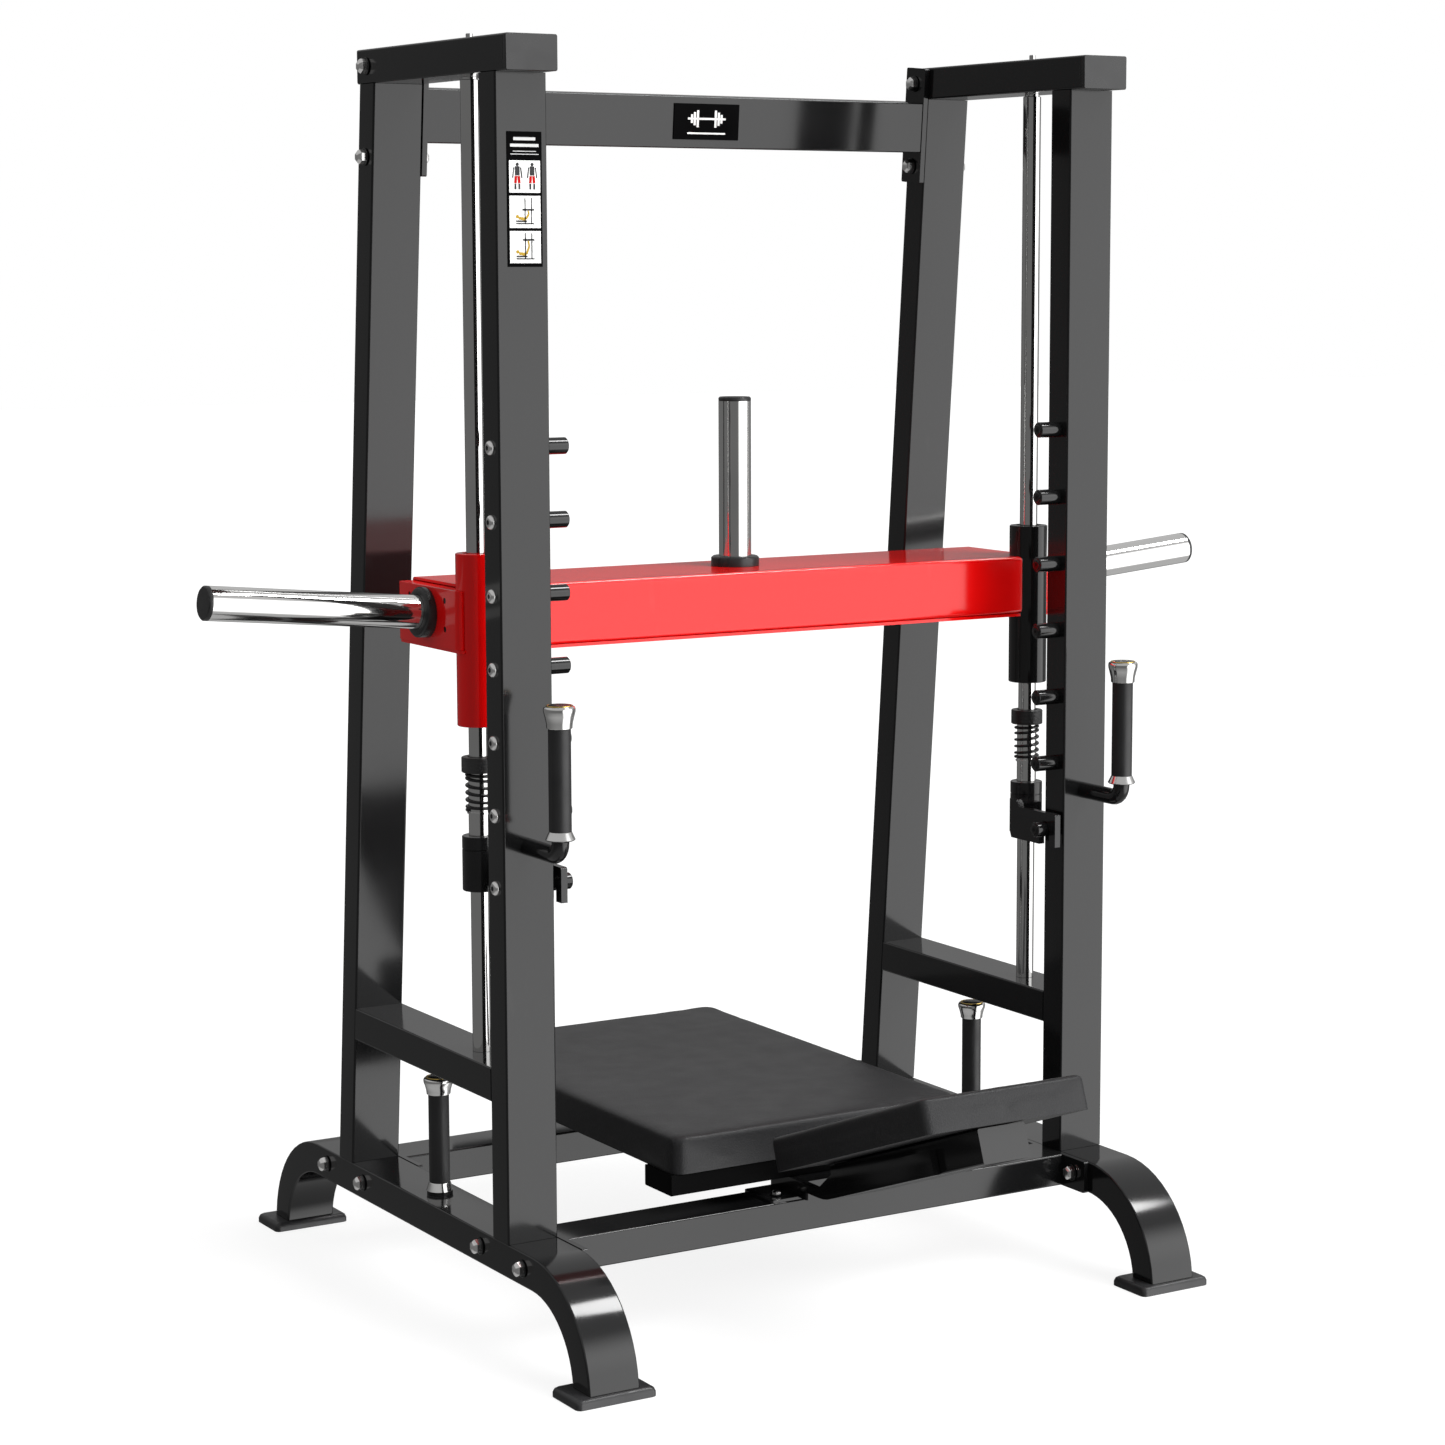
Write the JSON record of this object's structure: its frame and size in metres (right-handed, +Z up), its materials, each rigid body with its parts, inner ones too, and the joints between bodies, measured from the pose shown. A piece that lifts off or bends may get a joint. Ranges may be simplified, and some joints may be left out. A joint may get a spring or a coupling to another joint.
{
  "type": "vertical leg press",
  "caption": "Vertical leg press: a weight carriage slides on two guide rods above a padded bench and headrest, with hooked spring stops, pegs and plate horns.",
  "frame": {"origin": "middle of the machine in plan, on the floor under its feet", "axes": "+X to the right side of the machine as seen from its headrest end, +Y from the headrest towards the rear uprights, +Z up"},
  "size_m": [1.7488, 1.3536, 1.885],
  "materials": {
    "cap_chrome": "bright turned end cap",
    "collar_plastic": "black nylon collar and cap",
    "foot_rubber": "moulded black rubber foot",
    "frame_coat": "gloss black powder coat",
    "grip_rubber": "ribbed black rubber",
    "horn_chrome": "polished chrome sleeve",
    "liner_plastic": "black bearing liner",
    "pad_vinyl": "black grained vinyl upholstery",
    "red_enamel": "gloss red powder coat",
    "ring_rubber": "hard black rubber bumper",
    "rod_chrome": "polished hard chrome",
    "spring_steel": "dark oiled spring wire",
    "stop_coat": "black powder coat over steel"
  },
  "bodies": {
    "frame": {"back_pad": "pad_vinyl", "base_grip_post_left": "cap_chrome", "base_grip_post_right": "cap_chrome", "base_grip_sleeve_left": "grip_rubber", "base_grip_sleeve_right": "grip_rubber", "base_tube_left": "frame_coat", "base_tube_right": "frame_coat", "foot_pad_front_left": "foot_rubber", "foot_pad_front_right": "foot_rubber", "foot_pad_rear_left": "foot_rubber", "foot_pad_rear_right": "foot_rubber", "front_cross_member": "frame_coat", "front_handle_bar_left": "frame_coat", "front_handle_bar_right": "frame_coat", "front_handle_cap_left": "cap_chrome", "front_handle_cap_right": "cap_chrome", "front_handle_grip_left": "grip_rubber", "front_handle_grip_right": "grip_rubber", "front_upright_left": "frame_coat", "front_upright_right": "frame_coat", "guide_rod_left": "rod_chrome", "guide_rod_right": "rod_chrome", "headrest_arm": "frame_coat", "headrest_bracket": "frame_coat", "headrest_pad": "pad_vinyl", "lower_rail_left": "frame_coat", "lower_rail_right": "frame_coat", "pad_frame": "frame_coat", "rear_cross_member": "frame_coat", "rear_upright_left": "frame_coat", "rear_upright_right": "frame_coat", "top_tube_cap_left": "collar_plastic", "top_tube_cap_right": "collar_plastic", "top_tube_left": "frame_coat", "top_tube_right": "frame_coat", "upper_cross_member": "frame_coat"},
    "carriage": {"bearing_housing_left": "red_enamel", "bearing_housing_right": "frame_coat", "bearing_liner_left": "liner_plastic", "bearing_liner_right": "liner_plastic", "carriage_beam": "red_enamel", "carriage_end_left": "red_enamel", "carriage_end_right": "red_enamel", "centre_horn": "horn_chrome", "centre_horn_cap": "collar_plastic", "centre_horn_collar": "collar_plastic", "foot_plate": "red_enamel", "side_horn_cap_left": "collar_plastic", "side_horn_cap_right": "collar_plastic", "side_horn_collar_left": "collar_plastic", "side_horn_collar_right": "collar_plastic", "side_horn_left": "horn_chrome", "side_horn_right": "horn_chrome"},
    "stop_left": {"stop_hook_left": "stop_coat", "stop_spring_left": "spring_steel"},
    "stop_right": {"stop_hook_right": "stop_coat", "stop_spring_right": "spring_steel"},
    "bumper_left": {"bumper_ring_left": "ring_rubber"},
    "bumper_right": {"bumper_ring_right": "ring_rubber"}
  },
  "joints": [
    {"name": "carriage_slide", "type": "slide", "parent": "frame", "child": "carriage", "axis": [0, 0, 1], "range_m": [-0.043, 0.66]},
    {"name": "stop_lift_left", "type": "slide", "parent": "frame", "child": "stop_left", "axis": [0, 0, 1], "range_m": [0, 0.04]},
    {"name": "stop_lift_right", "type": "slide", "parent": "frame", "child": "stop_right", "axis": [0, 0, 1], "range_m": [0, 0.04]},
    {"name": "bumper_press_left", "type": "slide", "parent": "stop_left", "child": "bumper_left", "axis": [0, 0, 1], "range_m": [-0.022, 0], "stiffness_N_per_m": 9000, "deforming": ["stop_spring_left"]},
    {"name": "bumper_press_right", "type": "slide", "parent": "stop_right", "child": "bumper_right", "axis": [0, 0, 1], "range_m": [-0.022, 0], "stiffness_N_per_m": 9000, "deforming": ["stop_spring_right"]}
  ]
}
